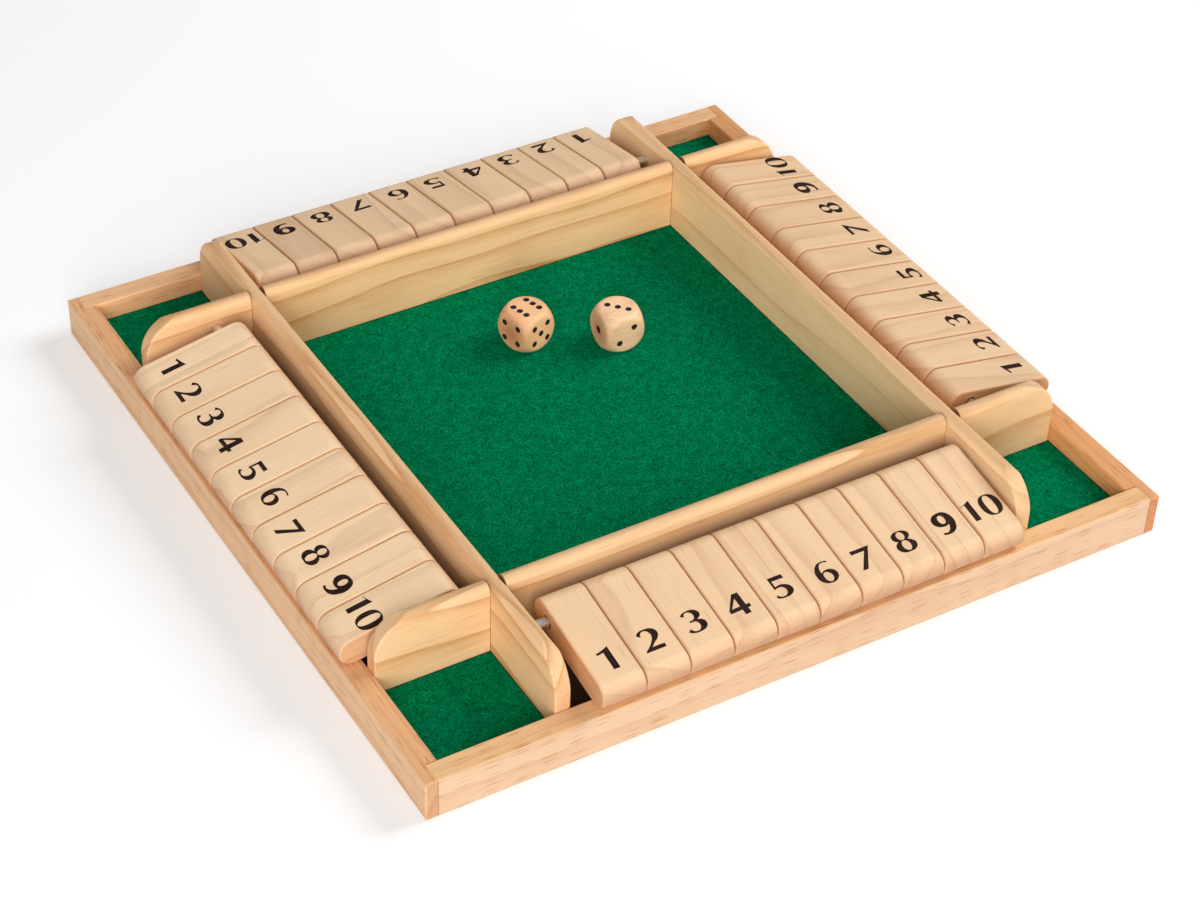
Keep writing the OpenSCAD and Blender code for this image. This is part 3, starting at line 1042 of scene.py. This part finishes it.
def pip_cutter(values, quarter_turns, step):
    """Small balls that stand over the faces of a die, one for each pip, in one mesh."""
    work = bmesh.new()
    for name, count in values.items():
        across, up, out = (Vector(axis) for axis in FACES[name])
        if name == "top" and quarter_turns:
            across, up = up, -across
        # A lone pip is drilled larger than the others
        radius = PIP_RADIUS * (LONE_PIP if count == 1 else 1.0)
        ball = (radius**2 + PIP_DEPTH**2) / (2 * PIP_DEPTH)
        for i, j in PIPS[count]:
            spot = across * i * step + up * j * step
            # The flat is round, so a pip near its rim sits on the ball-shaped part
            surface = spot + out * min(DIE_HALF, math.sqrt(DIE_BALL**2 - spot.length_squared))
            tilt = out.lerp(surface.normalized(), LEAN).normalized()
            centre = surface + tilt * (ball - PIP_DEPTH)
            bmesh.ops.create_icosphere(work, subdivisions=4, radius=ball, matrix=Matrix.Translation(centre))
    mesh = kept_mesh(work, "pip cutter")
    mesh.materials.append(PIP_PAINT)
    return mesh


print("a pip is", 2 * PIP_RADIUS / MM, "mm across and", PIP_DEPTH / MM, "mm deep")

# %% [markdown]
# The two dice aren't quite alike: the pips of the second one stand closer together. The end grain shows
# on the two faces that look along the stick. The cut makes new vertices, so each one's place in the
# stick is noted after it.

# %% Cut and place the two dice


def cut_die(name, values, quarter_turns, step, place, tone):
    """A die at the origin with its pips cut and painted, and its place in the stick noted."""
    blank = put_in_scene(name, tumbled_cube())
    blank.data.materials.append(DIE_WOOD)
    cutter = put_in_scene("cutter", pip_cutter(values, quarter_turns, step))
    cut = blank.modifiers.new("pips", "BOOLEAN")
    cut.operation = "DIFFERENCE"
    cut.object = cutter
    cut.solver = "EXACT"
    cut.material_mode = "TRANSFER"
    mesh = plain_mesh(blank)
    mesh.name = name
    for thing in (blank, cutter):
        bpy.data.objects.remove(thing)
    kinds = {"stick": "FLOAT_VECTOR", "cut_end": "FLOAT", "tone": "FLOAT"}
    for key, kind in kinds.items():
        mesh.attributes.new(key, kind, "POINT")
    marks = [mesh.attributes[key].data for key in kinds]
    for vertex, where, end, deep in zip(mesh.vertices, *marks):
        where.vector = vertex.co + Vector(place)
        end.value = abs(vertex.co.x / vertex.co.length) ** 3
        deep.value = tone
    return mesh


# For each die: the pips on its faces, quarter turns of its top, the step between pips, its place in the
# stick, its tone and how far it is turned, in degrees. The tone is painted shade, which makes the left
# die deeper and redder than the right one.
dice = {
    "left": ((6, 1, 5, 3, 2, 4), 0, 3.3 * MM, (0.3, 0.004, 0.002), 1.0, 16),
    "right": ((3, 4, 2, 6, 5, 1), 1, 2.85 * MM, (0.9, -0.006, 0.011), 0.0, -3),
}
for name, (values, quarter_turns, step, place, tone, turn) in dice.items():
    mesh = cut_die("die." + name, dict(zip(FACES, values)), quarter_turns, step, place, tone)
    low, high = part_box("die_" + name)
    mesh.transform(Matrix.Translation((low + high) / 2) @ Matrix.Rotation(math.radians(turn), 4, "Z"))
    new_piece("die." + name, mesh, "die_" + name, "die_" + name)
    print("die", name, "-", check(mesh))

# %% [markdown]
# ## Felt
# Felt is pressed wool: no weave, only matted fibres. Five pads of it lie on the floor panel, cut to
# fit between the boards. The pad itself comes from a tree of a few nodes: a fine grid with a slightly
# uneven surface is given the pad's thickness. The short fibres that stand off the surface are bent
# hairs of a few faces each, scattered over its top at random.

# %% Finishes for the felt
# How often the fibres and the mottling come back in a metre
MATTED = [(3400, 900, 1500), (900, 3400, 1500)]
MOTTLING = 260.0
# How far in from the felt's edge the painted shade reaches
EDGE_SHADE_REACH = 0.7 * MM


def make_felt():
    """Green wool felt, mottled, with a sheen of fine fibres."""
    material, tree, shader = new_material("green felt")
    point = own_place(tree)
    # Matted fibres: two noises, each drawn out another way, and a coarse one for the cloudy mottling
    matted = math_node(tree, "MAXIMUM", *(noise(tree, point, scale, 4.0)[0] for scale in MATTED))
    cloudy = noise(tree, point, MOTTLING, 3.0)[0]
    tone = plus(tree, times(tree, matted, 0.85), times(tree, cloudy, 0.15))
    shades = [
        (0.44, (0.0, 0.07, 0.026)),
        (0.55, (0.0, 0.165, 0.062)),
        (0.66, (0.002, 0.29, 0.12)),
        (0.76, (0.03, 0.42, 0.21)),
    ]
    # Painted shade: the felt goes dark brown within this reach of its edge, where it meets a wall
    inward = over(tree, attribute(tree, "edge_gap"), EDGE_SHADE_REACH)
    edge = minus(tree, 1.0, inward, clamp=True)
    values = {
        "Base Color": mix_colours(tree, edge, ramp(tree, tone, shades), (0.035, 0.02, 0.01, 1)),
        "Normal": raised(tree, tone, 0.7, 0.25 * MM),
        "Roughness": 0.95,
        "Specular IOR Level": 0.0,
        "Sheen Weight": 0.08,
        "Sheen Roughness": 0.5,
        "Sheen Tint": (0.02, 0.7, 0.35, 1),
    }
    fill(tree, shader, values)
    return material


def make_fibre(name, colour):
    """A single wool fibre of one colour, darker in patches."""
    material, tree, shader = new_material(name)
    patchy = noise(tree, own_place(tree), 900.0, 1.0)[0]
    dark = tuple(part * 0.55 for part in colour)
    fill(tree, shader, {"Base Color": ramp(tree, patchy, [(0.3, dark), (0.7, colour)]), "Roughness": 0.8})
    return material


FELT = make_felt()
FIBRE = make_fibre("felt fibre", (0.02, 0.30, 0.13))
PALE_FIBRE = make_fibre("pale felt fibre", (0.30, 0.55, 0.36))
print("felt finishes:", FELT.name, FIBRE.name, PALE_FIBRE.name)

# %% [markdown]
# The pad and its fibres are two steps of one tree. The pad is a grid that dips here and there, drawn
# down to a flat underside. Each fibre is an arc of three steps with a thread's thickness, turned and
# sized at random. Most are the felt's own green, and a few are pale ones and specks of lint.

# %% The felt pad and its fibres as nodes
GRID_STEP = 1.5 * MM
DEEPEST_DIP = 0.12 * MM
# The top lies at this share of the pad's thickness, and the fibres stand above it
TOP_SHARE = 0.93
FIBRE_ARC = 0.55 * MM
FIBRE_BEND = math.radians(130)
LEAST_TURN, MOST_TURN = (-0.5, -0.5, 0.0), (0.5, 0.5, 6.283)
THREAD = 0.035 * MM
# Each lot's share of the fibres, its finish, and its smallest and largest size
LOTS = [(1.0, "Fibre", 0.5, 1.5), (0.012, "Pale Fibre", 0.3, 0.9)]


def join(tree, *parts):
    """Several geometries as one. Returns the geometry."""
    joined = add_node(tree, "GeometryNodeJoinGeometry")
    for part in parts:
        tree.links.new(part, joined.inputs[0])
    return joined.outputs[0]


def felt_surface(tree, given):
    """The uneven top of a pad, which notes how far each point lies in from the nearer edge."""
    inputs = {"Size X": given["Width"], "Size Y": given["Length"]}
    for key, size in [("Vertices X", "Width"), ("Vertices Y", "Length")]:
        count = over(tree, given[size], GRID_STEP)
        inputs[key] = add_node(tree, "FunctionNodeFloatToInt", {0: count}).outputs[0]
    top = shape_node(tree, "MeshGrid", inputs)
    where = tree.nodes.new("GeometryNodeInputPosition").outputs[0]
    here = axes_of(tree, where)
    gaps = [
        minus(tree, times(tree, given[size], 0.5), unsigned(tree, here[axis]))
        for size, axis in [("Width", "X"), ("Length", "Y")]
    ]
    top = store(tree, top, "edge_gap", math_node(tree, "MINIMUM", *gaps))
    # The surface dips by up to a tenth of a millimetre, and never rises above the pad's thickness
    dip = times(tree, noise(tree, where, 180.0, 2.0)[0], -DEEPEST_DIP)
    height = plus(tree, times(tree, given["Thickness"], TOP_SHARE), dip)
    return shape_node(tree, "SetPosition", {"Geometry": top, "Offset": from_axes(tree, z=height)})


def felt_body(tree, given, surface):
    """The pad under its top: the edge is drawn down, and every point of the copy goes to 0."""
    walls = add_node(tree, "GeometryNodeExtrudeMesh", {"Mesh": surface}, mode="FACES")
    fill(tree, walls.inputs, {"Individual": False, "Offset Scale": 0.0})
    here = axes_of(tree, tree.nodes.new("GeometryNodeInputPosition").outputs[0])
    sunk = from_axes(tree, here["X"], here["Y"])
    inputs = {"Geometry": walls.outputs[0], "Selection": walls.outputs["Top"], "Position": sunk}
    ground = shape_node(tree, "SetPosition", inputs)
    inputs = {"Geometry": join(tree, ground, surface), "Distance": 0.002 * MM}
    sealed = shape_node(tree, "MergeByDistance", inputs)
    flat = shape_node(tree, "SetShadeSmooth", {"Geometry": sealed, "Shade Smooth": False})
    return covered(tree, flat, given["Felt"])


def loose_fibres(tree, given, surface, share, finish, shortest, longest):
    """One lot of fibres, scattered over a surface and turned at random."""
    inputs = {"Resolution": 4, "Radius": FIBRE_ARC, "Sweep Angle": FIBRE_BEND}
    arc = shape_node(tree, "CurveArc", inputs, mode="RADIUS")
    thread = shape_node(tree, "CurvePrimitiveCircle", {"Resolution": 3, "Radius": THREAD})
    fibre = shape_node(tree, "CurveToMesh", {"Curve": arc, "Profile Curve": thread, "Fill Caps": True})
    seed = plus(tree, given["Seed"], share * 100)
    density = times(tree, given["Fibres Per Square Metre"], share)
    inputs = {"Mesh": surface, "Density": density, "Seed": seed}
    spots = shape_node(tree, "DistributePointsOnFaces", inputs)
    inputs = {0: LEAST_TURN, 1: MOST_TURN, "Seed": seed}
    turn = add_node(tree, "FunctionNodeRandomValue", inputs, data_type="FLOAT_VECTOR").outputs[0]
    inputs = {2: shortest, 3: longest, "Seed": seed}
    length = add_node(tree, "FunctionNodeRandomValue", inputs, data_type="FLOAT").outputs[1]
    thing = covered(tree, fibre, given[finish])
    inputs = {"Points": spots, "Instance": thing, "Rotation": turn, "Scale": length}
    return realized(tree, shape_node(tree, "InstanceOnPoints", inputs))


print("a fibre is", round(FIBRE_ARC * FIBRE_BEND / MM, 2), "mm long at its full size")

# %% The tree that makes a felt pad


def make_felt_tree():
    """A Geometry Nodes tree: a rectangle of felt with loose fibres on its top. It lies from 0 upward."""
    tree = bpy.data.node_groups.new("felt pad", "GeometryNodeTree")
    declare(tree, "INPUT", "Float", "Width", "Length", "Thickness", "Fibres Per Square Metre")
    declare(tree, "INPUT", "Int", "Seed")
    declare(tree, "INPUT", "Material", "Felt", "Fibre", "Pale Fibre")
    declare(tree, "OUTPUT", "Geometry", "Pad")
    given = tree.nodes.new("NodeGroupInput").outputs
    surface = felt_surface(tree, given)
    body = felt_body(tree, given, surface)
    lots = [loose_fibres(tree, given, surface, *lot) for lot in LOTS]
    fill(tree, tree.nodes.new("NodeGroupOutput").inputs, {"Pad": join(tree, body, *lots)})
    return tree


FELT_TREE = make_felt_tree()
print("felt tree:", len(FELT_TREE.nodes), "nodes")

# %% [markdown]
# A pad is a sheet of cloth that lies on the floor panel and never moves, so it rides on the tray, and
# its flat size is its own width and length. The solid under it says where it goes.

# %% Lay the five pads
FIBRE_DENSITY = 160000.0
for seed, name in enumerate(["centre", "front_left", "front_right", "back_right", "back_left"]):
    low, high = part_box("felt_" + name)
    span = high - low
    values = {
        "Width": span.x,
        "Length": span.y,
        "Thickness": span.z,
        "Fibres Per Square Metre": FIBRE_DENSITY,
        "Seed": seed,
        "Felt": FELT,
        "Fibre": FIBRE,
        "Pale Fibre": PALE_FIBRE,
    }
    mesh = from_tree(FELT_TREE, values, "felt." + name)
    mesh.transform(Matrix.Translation(((low.x + high.x) / 2, (low.y + high.y) / 2, low.z)))
    pad = new_piece("felt." + name, mesh, "tray", "felt_" + name)
    print("felt", name, [round(side / MM, 1) for side in span], "mm,", len(mesh.polygons), "faces")

# %% [markdown]
# ## The scene round the game
# The camera stands about a metre away, to the left of the front, with a long lens. Shifting the lens a
# little moves the tray in the frame without turning the camera away from it.

# %% Camera
STAND = (-0.43206, -0.70252, 0.66009)
# Turned round the upright, tipped up from looking straight down, and rolled, in degrees
HEADING, TIP, ROLL = -30.18, 49.41, 0.949
scene = bpy.context.scene
camera_data = bpy.data.cameras.new("camera")
camera = put_in_scene("camera", camera_data)
scene.camera = camera
camera_data.lens = 83.33
camera_data.shift_x = 0.0533
camera_data.shift_y = 0.0529
camera_data.clip_start = 0.05
camera_data.clip_end = 20
aim = Matrix.Rotation(math.radians(HEADING), 4, "Z") @ Matrix.Rotation(math.radians(TIP), 4, "X")
aim = aim @ Matrix.Rotation(math.radians(ROLL), 4, "Z")
camera.matrix_world = Matrix.Translation(STAND) @ aim
print("camera at", [round(value, 3) for value in camera.matrix_world.translation])

# %% [markdown]
# The tray stands on plain white paper. To look white without more light on the game, the paper glows a
# little, but only for rays that come straight from the camera, so it adds nothing to the wood and keeps
# the shadow.

# %% Floor
FLOOR_REACH = 6.0
GLOW = 0.2
floor_mesh = bpy.data.meshes.new("floor")
corners = [(x * FLOOR_REACH, y * FLOOR_REACH, 0) for x, y in [(-1, -1), (1, -1), (1, 1), (-1, 1)]]
floor_mesh.from_pydata(corners, [], [(0, 1, 2, 3)])
floor = put_in_scene("floor", floor_mesh)
paper, tree, shader = new_material("paper")
seen = tree.nodes.new("ShaderNodeLightPath").outputs["Is Camera Ray"]
values = {
    "Base Color": (0.86, 0.86, 0.86, 1),
    "Roughness": 0.9,
    "Specular IOR Level": 0.0,
    "Emission Color": (1, 1, 1, 1),
    "Emission Strength": times(tree, seen, GLOW),
}
fill(tree, shader, values)
floor_mesh.materials.append(paper)
print("floor:", 2 * FLOOR_REACH, "m square")

# %% [markdown]
# Two large soft boxes and an even room light it. The first box stands in front and is the stronger one,
# so the shadows fall softly to the back, and the second one lifts the right-hand side.

# %% Light
ROOM_LIGHT = 0.36


def soft_light(name, power, size, place):
    """A square soft box that looks at the middle of the tray."""
    data = bpy.data.lights.new(name, "AREA")
    data.energy = power
    data.size = size
    lamp = put_in_scene(name, data)
    turned = (-Vector(place)).to_track_quat("-Z", "Y").to_matrix().to_4x4()
    lamp.matrix_world = Matrix.Translation(place) @ turned
    return lamp


lamps = [
    soft_light("front", 30, 1.2, (-0.95, -1.55, 0.75)),
    soft_light("right", 15, 0.8, (1.2, -0.1, 1.05)),
]
world = bpy.data.worlds.new("room")
world.use_nodes = True
backdrop = world.node_tree.nodes["Background"].inputs
fill(world.node_tree, backdrop, {"Color": (1, 1, 1, 1), "Strength": ROOM_LIGHT})
scene.world = world
scene.view_settings.view_transform = "Standard"
print("lamps:", [(lamp.name, lamp.data.energy) for lamp in lamps])
